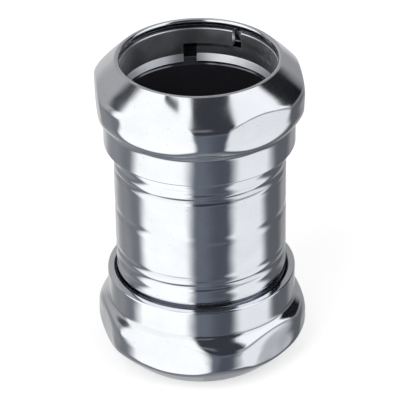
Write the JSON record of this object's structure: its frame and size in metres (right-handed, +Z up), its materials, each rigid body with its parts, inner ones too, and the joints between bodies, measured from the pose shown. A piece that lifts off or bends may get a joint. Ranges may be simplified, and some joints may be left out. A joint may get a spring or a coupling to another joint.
{
  "type": "conduit coupling",
  "caption": "Steel compression coupling that joins two thin-wall conduits end to end: a threaded tube with a centre stop, and at each end a domed nut over a split ring.",
  "frame": {"origin": "on the bore's axis, in the plane of the lower nut's rim that the coupling stands on", "axes": "+Z up along the bore, out of the upper mouth; +X to the right and -Y towards the viewer in the picture"},
  "size_m": [0.1012, 0.1012, 0.1559],
  "materials": {
    "tube_steel": "bright zinc plated, turned",
    "nut_steel": "bright zinc plated, pressed",
    "ring_steel": "zinc plated, dull inside"
  },
  "bodies": {
    "tube": {"tube": "tube_steel"},
    "upper_ring": {"upper_split_ring": "ring_steel"},
    "upper_nut": {"upper_nut": "nut_steel"},
    "lower_ring": {"lower_split_ring": "ring_steel"},
    "lower_nut": {"lower_nut": "nut_steel"}
  },
  "joints": [
    {"name": "upper_ring_travel", "type": "slide", "parent": "tube", "child": "upper_ring", "axis": [0, 0, 1], "range_m": [0, 0.0223]},
    {"name": "upper_nut_turn", "type": "hinge", "parent": "upper_ring", "child": "upper_nut", "pos_m": [0, 0, 0.13486], "axis": [0, 0, 1], "range_deg": [0, 1578]},
    {"name": "lower_ring_travel", "type": "slide", "parent": "tube", "child": "lower_ring", "axis": [0, 0, -1], "range_m": [-0.0026, 0.0197]},
    {"name": "lower_nut_turn", "type": "hinge", "parent": "lower_ring", "child": "lower_nut", "pos_m": [0, 0, 0.02366], "axis": [0, 0, -1], "range_deg": [-184, 1394]}
  ],
  "couplings": [
    {"joint": "upper_ring_travel", "follows": "upper_nut_turn", "m_per_rad": 0.00080851},
    {"joint": "lower_ring_travel", "follows": "lower_nut_turn", "m_per_rad": 0.00080851}
  ]
}
